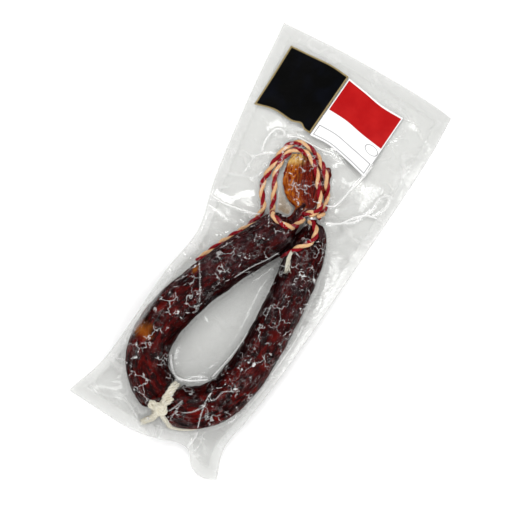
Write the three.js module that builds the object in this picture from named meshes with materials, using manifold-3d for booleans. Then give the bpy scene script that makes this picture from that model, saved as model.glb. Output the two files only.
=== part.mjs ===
// A horseshoe-shaped cured sausage, tied with twine and string and vacuum-sealed between two clear films.
// Millimetres, +Z up. The pack lies on its back film, its long side along Y and its labels at the +Y end.
// The origin is the centre of the pouch's outline, on the surface that the pack rests on.

import * as THREE from "three";
import { mergeVertices } from "three/addons/utils/BufferGeometryUtils.js";
import Module from "manifold-3d";

const wasm = await Module();
wasm.setup();

// ---------------------------------------------------------------- driving dimensions

const FILM_THICKNESS = 0.3;
const CLEARANCE = 0.3; // between two pieces that touch
const REST_HEIGHT = FILM_THICKNESS + CLEARANCE + 0.5; // of the lowest thing inside the pouch
const SAUSAGE_RADIUS = 17;
const AXIS_HEIGHT = REST_HEIGHT + SAUSAGE_RADIUS - 0.5; // the underside is pressed flat by half a millimetre
const WAIST_RADIUS = 12.2; // where the string bites in
const TWINE_RADIUS = 2.1;
const STRING_RADIUS = 2;
const LABEL_THICKNESS = 0.25;
const FLANGE_HEIGHT = 4.6; // at which the films hold a cord that lies beyond the sausage
const UP = new THREE.Vector3(0, 0, 1);

// ---------------------------------------------------------------- shared helpers

const evenly = (steps) => Array.from({ length: steps + 1 }, (_, i) => i / steps);
const clamp01 = (value) => Math.min(1, Math.max(0, value));
const curveThrough = (points) =>
  new THREE.CatmullRomCurve3(points.map((p) => new THREE.Vector3(...p)), false, "centripetal");

// Reads a list of values spread evenly over t from 0 to 1.
function between(values, t) {
  const at = clamp01(t) * (values.length - 1);
  const low = Math.min(Math.floor(at), values.length - 2);
  return THREE.MathUtils.lerp(values[low], values[low + 1], at - low);
}

// The direction to the right of a curve that is followed from its start, level with the table.
function acrossCurve(curve, t) {
  return new THREE.Vector3().crossVectors(curve.getTangentAt(t), UP).normalize();
}

// A closed solid swept along a curve, ring by ring. size(t) gives its half width and half height there.
function sweep(curve, size, sides, stations) {
  const steps = stations.length - 1;
  const geometry = new THREE.CylinderGeometry(1, 1, 1, sides, steps);
  const position = geometry.getAttribute("position");
  for (let i = 0; i < position.count; i++) {
    const t = stations[Math.round((position.getY(i) + 0.5) * steps)];
    const across = acrossCurve(curve, t);
    const above = new THREE.Vector3().crossVectors(across, curve.getTangentAt(t));
    const [halfWidth, halfHeight] = size(t);
    const point = curve
      .getPointAt(t)
      .addScaledVector(across, position.getX(i) * halfWidth)
      .addScaledVector(above, position.getZ(i) * halfHeight);
    position.setXYZ(i, point.x, point.y, Math.max(REST_HEIGHT, point.z));
  }
  return geometry;
}

// A round cord along a curve.
function cord(curve, radius, steps) {
  const section = new THREE.Shape().absarc(0, 0, radius, 0, 2 * Math.PI);
  return new THREE.ExtrudeGeometry(section, { extrudePath: curve, steps, curveSegments: 3 });
}

function joined(...geometries) {
  const solids = geometries.map((geometry) => {
    const bare = geometry.index ? geometry.toNonIndexed() : geometry.clone();
    bare.deleteAttribute("normal");
    bare.deleteAttribute("uv");
    const merged = mergeVertices(bare, 1e-3);
    const vertProperties = merged.getAttribute("position").array;
    const triVerts = new Uint32Array(merged.index.array);
    return new wasm.Manifold(new wasm.Mesh({ numProp: 3, vertProperties, triVerts }));
  });
  const mesh = solids.reduce((all, next) => all.add(next)).getMesh();
  return new THREE.BufferGeometry()
    .setAttribute("position", new THREE.BufferAttribute(mesh.vertProperties, 3))
    .setIndex(new THREE.BufferAttribute(mesh.triVerts, 1));
}

// Balls that fill a swept solid. Cords rest on them, and the films are drawn over and under them.
function ballsAlong(curve, radiusAt, count) {
  return evenly(count).map((t) => {
    const { x, y, z } = curve.getPointAt(t);
    return { x, y, z, radius: radiusAt(t) };
  });
}

// How high the middle of a cord of this radius lies when it rests on the balls.
function restingHeight(x, y, radius, balls) {
  let height = FLANGE_HEIGHT;
  for (const ball of balls) {
    const reach = ball.radius + radius + 3 * CLEARANCE;
    const away = Math.hypot(x - ball.x, y - ball.y);
    if (away < reach) height = Math.max(height, ball.z + Math.sqrt(reach * reach - away * away));
  }
  return height;
}

function piece(name, geometry, material) {
  const mesh = new THREE.Mesh(geometry, material);
  mesh.name = name;
  return mesh;
}

// ---------------------------------------------------------------- the sausage

// A natural casing packed with coarse meat and bent to a horseshoe. A thin neck of empty casing at its left
// end is gathered with the right one, and beyond them both the casing has dried to a flat amber fan.
const SPINE = curveThrough([
  [12.6, 53.4, 8.6],
  [11.2, 46, 8.8],
  [11.2, 40, 10.4],
  [9.6, 33, 13.8],
  [6.4, 26.5, 16.4],
  [1.5, 14.5, AXIS_HEIGHT],
  [-14.8, -19.5, AXIS_HEIGHT],
  [-29.7, -59.5, AXIS_HEIGHT],
  [-35.9, -88, AXIS_HEIGHT],
  [-34, -111, AXIS_HEIGHT],
  [-22, -129.5, AXIS_HEIGHT],
  [-1, -138, AXIS_HEIGHT],
  [21, -134, AXIS_HEIGHT],
  [36.5, -117, AXIS_HEIGHT],
  [43.2, -90, AXIS_HEIGHT],
  [43.8, -57, AXIS_HEIGHT],
  [41, -19.5, AXIS_HEIGHT],
  [35.6, 15.5, AXIS_HEIGHT],
  [31.8, 35, 15],
  [27.6, 44.4, 11.6],
]);
const SPINE_LENGTH = SPINE.getLength();
const BODY_RADII = [18.4, 18.6, 17.6, 17.2, 17.8, 17.8, 18, 17.8, 17.4, 16.6, 16.8, 16.4, 16];
const LEFT_NECK = { radius: 2.4, length: 20, shoulder: 15 };
const RIGHT_NECK = { radius: 2.8, length: 0, shoulder: 35 };
const WAIST_AT = evenly(400).find((t) => t > 0.3 && SPINE.getPointAt(t).x > -1);

// From the neck's radius to the body's along a quarter of an ellipse.
function shoulder(bodyRadius, distance, neck) {
  const along = clamp01((distance - neck.length) / neck.shoulder);
  return neck.radius + (bodyRadius - neck.radius) * Math.sqrt(1 - (1 - along) ** 2);
}

function sausageRadius(t) {
  const body = between(BODY_RADII, t);
  const left = shoulder(body, t * SPINE_LENGTH, LEFT_NECK);
  const right = shoulder(body, (1 - t) * SPINE_LENGTH, RIGHT_NECK);
  const fromWaist = (t - WAIST_AT) * SPINE_LENGTH;
  return Math.min(left, right) - (body - WAIST_RADIUS) * Math.exp(-((fromWaist / 6) ** 4));
}

const TAIL = curveThrough([
  [28.6, 43.4, 12],
  [23, 48, 10.6],
  [18.6, 53, 9.8],
  [11, 60, 7.8],
  [5.4, 68, 6.8],
  [1.6, 77, 6.2],
  [-3, 84.6, 6],
  [-6.4, 89.4, 6],
]);
const TAIL_HALF_WIDTHS = [2.8, 2.8, 4.4, 11.6, 15.4, 17, 17.4, 16.6, 12, 3.5];
const TAIL_HALF_HEIGHTS = [2.8, 2.8, 3, 2.8, 2.5, 2.4, 2.2, 2, 1.6, 1];
const sausageBalls = ballsAlong(SPINE, sausageRadius, 240);

const tailBalls = ballsAlong(TAIL, (t) => between(TAIL_HALF_HEIGHTS, t), 24).flatMap((ball, i) => {
  const across = acrossCurve(TAIL, i / 24);
  const spread = between(TAIL_HALF_WIDTHS, i / 24) - ball.radius;
  const sides = [-1, -0.75, -0.5, -0.25, 0, 0.25, 0.5, 0.75, 1];
  return sides.map((side) => {
    const x = ball.x + side * spread * across.x;
    const y = ball.y + side * spread * across.y;
    return { ...ball, x, y };
  });
});

function sausage() {
  const round = (t) => [sausageRadius(t), sausageRadius(t)];
  const flat = (t) => [between(TAIL_HALF_WIDTHS, t), between(TAIL_HALF_HEIGHTS, t)];
  const waistRings = [-7.5, -5, -2.6, 0, 2.6, 5, 7.5].map((offset) => WAIST_AT + offset / SPINE_LENGTH);
  const otherRings = evenly(62).filter((t) => Math.abs(t - WAIST_AT) * SPINE_LENGTH > 9);
  const stations = [...otherRings, ...waistRings].sort((a, b) => a - b);
  const material = new THREE.MeshStandardMaterial({ color: 0x4a0c0a, roughness: 0.45 });
  const neckEnd = sweep(TAIL, flat, 14, evenly(18));
  return piece("sausage", joined(sweep(SPINE, round, 16, stations), neckEnd), material);
}

// ---------------------------------------------------------------- the clip

// A crimped aluminium ring round the casing's stem.
const CLIP_RADIUS = { inside: 3.3, outside: 4.5 };
const CLIP_LENGTH = 2.6;
const CLIP_AT = 0.075; // along the tail
const CLIP_CENTRE = TAIL.getPointAt(CLIP_AT);

function neckClip() {
  const half = CLIP_LENGTH / 2;
  const profile = [
    [CLIP_RADIUS.inside, -half],
    [CLIP_RADIUS.outside, -half],
    [CLIP_RADIUS.outside, half],
    [CLIP_RADIUS.inside, half],
    [CLIP_RADIUS.inside, -half],
  ];
  const ring = new THREE.LatheGeometry(profile.map((p) => new THREE.Vector2(...p)), 18);
  const material = new THREE.MeshStandardMaterial({ color: 0xb4b6ba, roughness: 0.35, metalness: 0.9 });
  const clip = piece("neck_clip", ring, material);
  clip.quaternion.setFromUnitVectors(new THREE.Vector3(0, 1, 0), TAIL.getTangentAt(CLIP_AT));
  clip.position.copy(CLIP_CENTRE);
  return clip;
}

// ---------------------------------------------------------------- the red and white twine

const twineMaterial = new THREE.MeshStandardMaterial({ color: 0xb5202c, roughness: 0.85 });
const onContents = [...sausageBalls, ...tailBalls];
const laid = (points) => points.map(([x, y]) => [x, y, restingHeight(x, y, TWINE_RADIUS, onContents)]);

// The loop that the sausage was hung by. Its outer strand starts in the knot and ends beside the left limb.
const besideLimb = [0.135, 0.16, 0.19, 0.22, 0.25].map((t) => {
  const away = sausageRadius(t) + TWINE_RADIUS + 2 * CLEARANCE;
  return SPINE.getPointAt(t).addScaledVector(acrossCurve(SPINE, t), away).toArray();
});
const OUTER_STRAND = curveThrough([
  ...laid([
    [23.6, 59.4],
    [27.4, 63],
    [25, 69.4],
    [20.6, 76.6],
    [12.2, 86],
    [3.2, 92.6],
  ]),
  [-7.4, 96.4, 5.2],
  [-17.4, 95.6, 4.6],
  [-24, 88.6, 4.2],
  [-26.2, 78.4, 4],
  [-26.6, 64, 4],
  [-26, 54, 4.6],
  [-22.4, 45.4, 6],
  [-14.8, 37.4, 11],
  ...besideLimb,
]);

// The inner strand runs beside it, crosses over the left end, and comes back to the knot along the left neck.
const INNER_STRAND = curveThrough([
  ...laid([
    [23.6, 59.4],
    [19.6, 65.4],
    [14.6, 73],
    [8.6, 80.6],
    [-1.4, 88.6],
    [-9.6, 91],
  ]),
  [-17.4, 89, 6.8],
  [-21.4, 82, 4.4],
  [-22, 72, 4.2],
  [-20.6, 63, 4.4],
  [-15.4, 53.4, 5.4],
  [-10.6, 43.6, 9],
  ...laid([
    [-6.6, 35.6],
    [-2.4, 32.2],
    [5.6, 31],
    [12.6, 32.4],
    [16.4, 38.6],
    [17.6, 44.4],
  ]),
]);

function hangingTwine() {
  const knot = new THREE.SphereGeometry(3.2, 10, 8);
  knot.translate(...laid([[23.6, 59.4]])[0]);
  const strands = [cord(OUTER_STRAND, TWINE_RADIUS, 64), cord(INNER_STRAND, TWINE_RADIUS, 60)];
  return piece("hanging_twine", joined(knot, ...strands), twineMaterial);
}

// A second length is wound once round the stem beyond the clip, and its cut end trails over the right limb.
const TURN_AT = 0.14; // along the tail
const TURN_RADIUS = 4.1 + TWINE_RADIUS;
const TURN_CENTRE = TAIL.getPointAt(TURN_AT);
const overTheClip = CLIP_CENTRE.z + CLIP_RADIUS.outside + TWINE_RADIUS + 1.4;
const TRAILING_END = curveThrough([
  [TURN_CENTRE.x, TURN_CENTRE.y, TURN_CENTRE.z + TURN_RADIUS],
  [CLIP_CENTRE.x, CLIP_CENTRE.y, overTheClip],
  ...laid([
    [29, 43.6],
    [32.4, 38.6],
    [33, 32.4],
    [30.6, 27],
    [26.6, 21.6],
    [23, 15.6],
    [20.6, 9.6],
  ]),
]);

function bindingTwine() {
  const turn = new THREE.TorusGeometry(TURN_RADIUS, TWINE_RADIUS, 6, 16);
  turn.applyQuaternion(new THREE.Quaternion().setFromUnitVectors(UP, TAIL.getTangentAt(TURN_AT)));
  turn.translate(...TURN_CENTRE);
  return piece("binding_twine", joined(turn, cord(TRAILING_END, TWINE_RADIUS, 26)), twineMaterial);
}

// ---------------------------------------------------------------- the white string

// A cotton string tied round the waist of the horseshoe, its knot on top and both ends trailing outwards.
const WAIST_CENTRE = SPINE.getPointAt(WAIST_AT);
const STRING_TURN_RADIUS = WAIST_RADIUS + CLEARANCE + STRING_RADIUS;
const KNOT_CENTRE = [-1.6, -145.4, 33.2];
const LONG_END = curveThrough([
  KNOT_CENTRE,
  [-4.6, -151.6, 29.4],
  [-7.4, -157.6, 21],
  [-8.4, -161.6, 12],
  [-8.6, -166.4, 6],
]);
const SHORT_END = curveThrough([KNOT_CENTRE, [5, -151, 31], [10, -156.6, 25], [14, -158, 16]]);

function waistString() {
  const turn = new THREE.TorusGeometry(STRING_TURN_RADIUS, STRING_RADIUS, 6, 28);
  turn.applyQuaternion(new THREE.Quaternion().setFromUnitVectors(UP, SPINE.getTangentAt(WAIST_AT)));
  turn.translate(...WAIST_CENTRE);
  const knot = new THREE.SphereGeometry(1, 12, 8);
  knot.scale(4.8, 3.8, 2.8);
  knot.translate(...KNOT_CENTRE);
  const ends = [cord(LONG_END, STRING_RADIUS, 12), cord(SHORT_END, STRING_RADIUS, 10)];
  const material = new THREE.MeshStandardMaterial({ color: 0xe6e0cf, roughness: 0.9 });
  return piece("waist_string", joined(turn, knot, ...ends), material);
}

// ---------------------------------------------------------------- the pouch

// The four edges of the sealed outline, drawn in where the films close round the sausage.
const LEFT_EDGE = curveThrough([
  [-72, -175.5, 0],
  [-61, -140, 0],
  [-57.5, -100, 0],
  [-55.5, -50, 0],
  [-50.5, -9, 0],
  [-61.5, 36, 0],
  [-74, 120, 0],
  [-79.5, 173, 0],
]);
const RIGHT_EDGE = curveThrough([
  [69.5, -175, 0],
  [61, -150, 0],
  [66, -112, 0],
  [71.5, -50, 0],
  [75.5, 30, 0],
  [79, 110, 0],
  [79.5, 150, 0],
  [78, 178, 0],
]);
const BOTTOM_EDGE = curveThrough([
  [-72, -175.5, 0],
  [-12, -175.5, 0],
  [8, -171, 0],
  [26, -164.5, 0],
  [36, -165, 0],
  [46, -176, 0],
  [58, -179.5, 0],
  [69.5, -175, 0],
]);
const TOP_EDGE = curveThrough([
  [-79.5, 173, 0],
  [-20, 178, 0],
  [60, 179.5, 0],
  [78, 178, 0],
]);
const EDGE_HEIGHT = 1.6; // of the sealed rim, where the films droop to the table
const DROOP_LENGTH = 24;
const WEB_LENGTH = 90; // the films stay taut across the inside of the horseshoe
const OVER_BODY = { margin: 3.3, slope: THREE.MathUtils.degToRad(60) };
const OVER_CORD = { margin: 2.4, slope: THREE.MathUtils.degToRad(24) };

const turnBalls = evenly(28).map((share) => {
  const [sideways, upwards] = [Math.cos(share * 2 * Math.PI), Math.sin(share * 2 * Math.PI)];
  const point = acrossCurve(SPINE, WAIST_AT).multiplyScalar(sideways).addScaledVector(UP, upwards);
  point.multiplyScalar(STRING_TURN_RADIUS).add(WAIST_CENTRE);
  return { x: point.x, y: point.y, z: point.z, radius: STRING_RADIUS };
});
const cordBalls = [
  ...ballsAlong(OUTER_STRAND, () => TWINE_RADIUS, 90),
  ...ballsAlong(INNER_STRAND, () => TWINE_RADIUS, 90),
  ...ballsAlong(TRAILING_END, () => TWINE_RADIUS, 30),
  ...ballsAlong(LONG_END, () => STRING_RADIUS, 16),
  ...ballsAlong(SHORT_END, () => STRING_RADIUS, 12),
  ...turnBalls,
  { x: KNOT_CENTRE[0], y: KNOT_CENTRE[1], z: KNOT_CENTRE[2], radius: 3 },
  { x: CLIP_CENTRE.x, y: CLIP_CENTRE.y, z: CLIP_CENTRE.z, radius: CLIP_RADIUS.outside },
  { x: TURN_CENTRE.x, y: TURN_CENTRE.y, z: TURN_CENTRE.z, radius: TURN_RADIUS + TWINE_RADIUS },
];
const contents = [
  ...onContents.map((ball) => ({ ...ball, ...OVER_BODY })),
  ...cordBalls.map((ball) => ({ ...ball, ...OVER_CORD })),
];

// A point of the outline's inside, u and v running from -1 to 1 across and along it.
function onOutline(u, v) {
  const [s, t] = [(u + 1) / 2, (v + 1) / 2];
  const mix = (a, b, share) => new THREE.Vector3().lerpVectors(a, b, share);
  const sides = mix(LEFT_EDGE.getPointAt(t), RIGHT_EDGE.getPointAt(t), s);
  const ends = mix(BOTTOM_EDGE.getPointAt(s), TOP_EDGE.getPointAt(s), t);
  const low = mix(BOTTOM_EDGE.getPointAt(0), BOTTOM_EDGE.getPointAt(1), s);
  const high = mix(TOP_EDGE.getPointAt(0), TOP_EDGE.getPointAt(1), s);
  return sides.add(ends).sub(mix(low, high, t));
}

// Whether a point lies inside the horseshoe, closed by the line between its two ends.
const horseshoe = SPINE.getSpacedPoints(60);
function insideHorseshoe(x, y) {
  return horseshoe.reduce((inside, a, i) => {
    const b = horseshoe[(i + 1) % horseshoe.length];
    const crosses = a.y > y !== b.y > y && x < a.x + ((y - a.y) / (b.y - a.y)) * (b.x - a.x);
    return crosses ? !inside : inside;
  }, false);
}

// The height at which the two films lie on each other: halfway up whatever is near, and falling away from it.
function seamHeight(x, y) {
  const droop = insideHorseshoe(x, y) ? WEB_LENGTH : DROOP_LENGTH;
  return onContents.reduce((height, ball) => {
    const away = Math.max(0, Math.hypot(x - ball.x, y - ball.y) - ball.radius);
    return Math.max(height, EDGE_HEIGHT + (ball.z - EDGE_HEIGHT) * Math.exp(-away / droop));
  }, EDGE_HEIGHT);
}

// How far a film stands off above (side 1) or below (side -1) the things inside the pouch.
function bulge(x, y, side) {
  return contents.reduce((most, ball) => {
    const radius = ball.radius + ball.margin;
    const away = Math.hypot(x - ball.x, y - ball.y);
    const edge = radius * Math.sin(ball.slope);
    const rise =
      away < edge
        ? Math.sqrt(radius * radius - away * away)
        : radius * Math.cos(ball.slope) - (away - edge) * Math.tan(ball.slope);
    return Math.max(most, side * ball.z + rise);
  }, -Infinity);
}

// The larger of two heights, rounded where they cross.
function smoothMax(a, b, width) {
  const overlap = Math.max(0, width - Math.abs(a - b)) / width;
  return Math.max(a, b) + (overlap * overlap * width) / 4;
}

const halfGap = (FILM_THICKNESS + CLEARANCE) / 2;
const frontSeam = (x, y) => seamHeight(x, y) + halfGap;
const backSeam = (x, y) => Math.max(FILM_THICKNESS / 2, seamHeight(x, y) - halfGap);
const frontMiddle = (x, y) => smoothMax(frontSeam(x, y), bulge(x, y, 1), 3);
const backMiddle = (x, y) => Math.max(FILM_THICKNESS / 2, -smoothMax(-backSeam(x, y), bulge(x, y, -1), 3));

// A thin sheet over a grid of plan points, as thick as asked along its own normal.
// Its middle lies at middle(x, y), and its outermost points at rim(x, y).
function sheet(columns, rows, plan, middle, rim, thickness) {
  const points = evenly(columns).map((s) =>
    evenly(rows).map((t) => {
      const { x, y } = plan(2 * s - 1, 2 * t - 1);
      const height = Math.min(s, t, 1 - s, 1 - t) < 0.001 ? rim : middle;
      return new THREE.Vector3(x, y, height(x, y));
    }),
  );
  const near = (i, j) => points[Math.min(columns, Math.max(0, i))][Math.min(rows, Math.max(0, j))];
  const offset = (i, j, distance) => {
    const alongU = new THREE.Vector3().subVectors(near(i + 1, j), near(i - 1, j));
    const alongV = new THREE.Vector3().subVectors(near(i, j + 1), near(i, j - 1));
    const liesFlat = near(i, j).z < thickness / 2 + 0.001;
    return near(i, j).clone().addScaledVector(liesFlat ? UP : alongU.cross(alongV).normalize(), distance);
  };
  // The plane gives one skin's triangles. The other skin has them turned over, and a wall joins the two.
  const plane = new THREE.PlaneGeometry(2, 2, columns, rows);
  const position = plane.getAttribute("position");
  const upper = [];
  const lower = [];
  for (let n = 0; n < position.count; n++) {
    const i = Math.round(((position.getX(n) + 1) / 2) * columns);
    const j = Math.round(((position.getY(n) + 1) / 2) * rows);
    upper.push(...offset(i, j, thickness / 2));
    lower.push(...offset(i, j, -thickness / 2));
  }
  const index = [...plane.index.array];
  const count = position.count;
  for (let n = 0; n < plane.index.count; n += 3) {
    const [a, b, c] = plane.index.array.slice(n, n + 3);
    index.push(a + count, c + count, b + count);
  }
  const wide = columns + 1;
  const border = [
    ...Array.from({ length: rows }, (_, n) => n * wide),
    ...Array.from({ length: columns }, (_, n) => rows * wide + n),
    ...Array.from({ length: rows }, (_, n) => (rows - n) * wide + columns),
    ...Array.from({ length: columns }, (_, n) => columns - n),
  ];
  border.forEach((here, n) => {
    const next = border[(n + 1) % border.length];
    index.push(here, here + count, next + count, here, next + count, next);
  });
  return new THREE.BufferGeometry()
    .setAttribute("position", new THREE.Float32BufferAttribute([...upper, ...lower], 3))
    .setIndex(index);
}

const filmMaterial = new THREE.MeshStandardMaterial({
  color: 0xe4e8e6,
  roughness: 0.15,
  transparent: true,
  opacity: 0.3,
});

function film(name, middle, seam) {
  return piece(name, sheet(20, 40, onOutline, middle, seam, FILM_THICKNESS), filmMaterial);
}

// ---------------------------------------------------------------- the labels

// Two printed stickers side by side on the front film. Corners run from the lower left, anticlockwise.
const LABEL_LIFT = FILM_THICKNESS / 2 + LABEL_THICKNESS / 2 + 1.5 * CLEARANCE;

function label(name, corners, color) {
  const [lowLeft, lowRight, highRight, highLeft] = corners.map((p) => new THREE.Vector2(...p));
  const plan = (u, v) => {
    const low = new THREE.Vector2().lerpVectors(lowLeft, lowRight, (u + 1) / 2);
    const high = new THREE.Vector2().lerpVectors(highLeft, highRight, (u + 1) / 2);
    return low.lerp(high, (v + 1) / 2);
  };
  const middle = (x, y) => frontMiddle(x, y) + LABEL_LIFT;
  const material = new THREE.MeshStandardMaterial({ color, roughness: 0.4 });
  return piece(name, sheet(5, 5, plan, middle, middle, LABEL_THICKNESS), material);
}

const FRONT_LABEL = [
  [-65.5, 103.6],
  [-14.4, 106.2],
  [-11.2, 162.6],
  [-65, 160],
];
const DATA_LABEL = [
  [-13.6, 105.4],
  [41.6, 98.8],
  [44.6, 157.6],
  [-10.4, 162.6],
];

// ---------------------------------------------------------------- the whole pack

const pack = new THREE.Group();
pack.add(
  sausage(),
  neckClip(),
  hangingTwine(),
  bindingTwine(),
  waistString(),
  film("pouch_front_film", frontMiddle, frontSeam),
  film("pouch_back_film", backMiddle, backSeam),
  label("front_label", FRONT_LABEL, 0x0a0a10),
  label("data_label", DATA_LABEL, 0xd8d8d8),
);

export default pack;
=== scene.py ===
"""A horseshoe of cured sausage, tied with twine and string and sealed in a clear pouch with two stickers."""

import math
import random

import bpy
import numpy as np
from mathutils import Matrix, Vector, noise
from mathutils.bvhtree import BVHTree
from mathutils.kdtree import KDTree


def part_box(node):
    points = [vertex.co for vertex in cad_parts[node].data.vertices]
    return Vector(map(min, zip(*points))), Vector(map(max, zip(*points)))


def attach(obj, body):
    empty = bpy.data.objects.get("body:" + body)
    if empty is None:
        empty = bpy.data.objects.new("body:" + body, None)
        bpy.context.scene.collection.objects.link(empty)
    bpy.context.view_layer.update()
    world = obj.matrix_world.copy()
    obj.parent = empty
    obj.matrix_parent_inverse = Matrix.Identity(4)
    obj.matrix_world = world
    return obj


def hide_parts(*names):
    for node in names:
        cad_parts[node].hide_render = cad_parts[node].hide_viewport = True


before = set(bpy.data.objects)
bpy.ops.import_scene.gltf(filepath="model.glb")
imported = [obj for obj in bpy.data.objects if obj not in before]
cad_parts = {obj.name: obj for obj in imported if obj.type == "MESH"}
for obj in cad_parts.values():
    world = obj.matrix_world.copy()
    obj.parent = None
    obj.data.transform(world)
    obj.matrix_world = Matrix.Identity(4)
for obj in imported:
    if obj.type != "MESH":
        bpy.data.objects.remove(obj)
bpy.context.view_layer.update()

# ------------------------------------------------------------------------------ table, lights and camera
# The pack lies on a plain white table under soft studio boxes. The camera looks straight down on it, turned
# so that the pack's long side runs up to the right.

MM = 0.001
FIELD = 0.42  # what the square view takes in at the table
CAMERA_HEIGHT = 1.25
CAMERA_TURN = 31.6  # degrees
TABLE_DROP = 0.0004  # the table top lies this far under the pack


def soft_box(name, place, size, watts):
    """A rectangular studio light that faces the middle of the table."""
    bpy.ops.object.light_add(type="AREA", location=place)
    lamp = bpy.context.object
    lamp.name = name
    lamp.data.shape = "RECTANGLE"
    lamp.data.size, lamp.data.size_y = size
    lamp.data.energy = watts
    lamp.rotation_euler = (-Vector(place)).to_track_quat("-Z", "Y").to_euler()


bpy.ops.mesh.primitive_plane_add(size=6, location=(0, 0, -TABLE_DROP))
table = bpy.context.object
table.name = "table"
table_white = bpy.data.materials.new("table_white")
table_white.use_nodes = True
table_paint = table_white.node_tree.nodes["Principled BSDF"]
table_paint.inputs["Base Color"].default_value = (0.93, 0.93, 0.93, 1)
table_paint.inputs["Roughness"].default_value = 0.6
table.data.materials.append(table_white)

scene = bpy.context.scene
scene.view_settings.view_transform = "Standard"
world = bpy.data.worlds.new("studio")
scene.world = world
world.use_nodes = True
sky = world.node_tree
toward = sky.nodes.new("ShaderNodeTexCoord")
height = sky.nodes.new("ShaderNodeSeparateXYZ")
ceiling = sky.nodes.new("ShaderNodeMapRange")
ceiling.inputs["From Min"].default_value, ceiling.inputs["From Max"].default_value = 0.2, 0.8
ceiling.inputs["To Min"].default_value, ceiling.inputs["To Max"].default_value = 0.25, 1.0
sky.links.new(toward.outputs["Generated"], height.inputs[0])
sky.links.new(height.outputs["Z"], ceiling.inputs["Value"])
sky.links.new(ceiling.outputs[0], sky.nodes["Background"].inputs["Strength"])
sky.nodes["Background"].inputs["Color"].default_value = (1, 1, 1, 1)
soft_box("key_box", (-0.6, 0.8, 1.6), (0.7, 0.7), 13)
soft_box("fill_box", (1.0, 0.1, 1.3), (0.5, 0.9), 7)
soft_box("low_box", (-0.3, -1.2, 0.9), (1.0, 0.4), 4)

camera_data = bpy.data.cameras.new("camera")
camera_data.sensor_width = 36
camera_data.lens = camera_data.sensor_width * CAMERA_HEIGHT / FIELD
camera = bpy.data.objects.new("camera", camera_data)
camera.location = (0.0009, -0.0019, CAMERA_HEIGHT)
camera.rotation_euler = (0, 0, math.radians(CAMERA_TURN))
scene.collection.objects.link(camera)
scene.camera = camera

# ------------------------------------------------------------------------------ sausage
# Coarse dark meat packed into a natural casing, bent to a horseshoe and dried until the skin shrank into
# fine wrinkles. Both ends gather into thin necks, and beyond them the empty casing has dried to a pleated
# amber fan.

SPINE = [  # x, y, z in millimetres along the middle, from the left neck round to the right one
    (12.6, 53.4, 8.6),
    (11.2, 46, 8.8),
    (11.2, 40, 10.4),
    (9.6, 33, 13.8),
    (6.4, 26.5, 16.4),
    (1.5, 14.5, 17.6),
    (-14.8, -19.5, 17.6),
    (-29.7, -59.5, 17.6),
    (-35.9, -88, 17.6),
    (-34, -111, 17.6),
    (-22, -129.5, 17.6),
    (-1, -138, 17.6),
    (21, -134, 17.6),
    (36.5, -117, 17.6),
    (43.2, -90, 17.6),
    (43.8, -57, 17.6),
    (41, -19.5, 17.6),
    (35.6, 15.5, 17.6),
    (31.8, 35, 15),
    (27.6, 44.4, 11.6),
]
BODY_RADII = [16.6, 17.4, 17.4, 17.2, 17.8, 17.8, 18, 17.8, 17.4, 16.6, 16.8, 16.4, 16]
LEFT_NECK = (2.4, 20, 17)  # radius, length and the shoulder's length
RIGHT_NECK = (2.8, 0, 35)
WAIST_RADIUS = 12.2
WAIST_HALF_WIDTH = 6
FAN = [  # along the middle of the empty casing: x, y, z and its half width
    (28.6, 43.4, 12, 1.6),
    (23, 48, 10.6, 1.6),
    (18.6, 53, 9.8, 3.6),
    (11, 60, 7.8, 12.4),
    (5.4, 68, 6.8, 16.4),
    (1.6, 77, 6.2, 17),
    (-3, 84.6, 6, 15.5),
    (-8, 92, 5.6, 11),
]
PLEATS = 11
PLEAT_HEIGHT = 0.9
PLEAT_SWERVE = 0.06  # as a share of the fan's half width
PLEAT_PLACES = [0, 0.15, 0.3, 0.7, 1]  # along the fan, where the next line gives a pleat's thickness
PLEAT_RADII = [1.5, 1.5, 1.9, 2.1, 1.3]
NECK_PLEATS = [-2.6, 0.8, 3.4]  # how far each one lies to the side
SKIN_STEP = 0.9  # the mesh's spacing
WRINKLE_HEIGHT = 0.35
LUMPS = [(0.75, 17, 0), (0.34, 6, 3)]  # height and size of the meat's lumps, and the noise's seed
FAN_LUMPS = [(0.5, 2.6, 4), (0.3, 7, 14)]
GATHERS = 15  # folds round a neck
GATHER_HEIGHT = 0.9
GROOVE_DEPTH = 1.5  # of a furrow along the right limb
GROOVE_TURN = 1.35  # radians round the limb
GROOVE_HALF_WIDTH = 0.1
GROOVE_ENDS = (318, 332, 362, 372)  # millimetres along, where it starts, is deep, is still deep, and ends
FAT_PATCHES = [(-43.4, -99.8, 28, 7.5), (-36.5, -34.5, 28, 4)]  # x, y, z and radius of fat that shows through


def running_length(rows):
    """How far along the route each row is."""
    return np.concatenate([[0], np.cumsum(np.linalg.norm(np.diff(rows[:, :3], axis=0), axis=1))])


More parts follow.
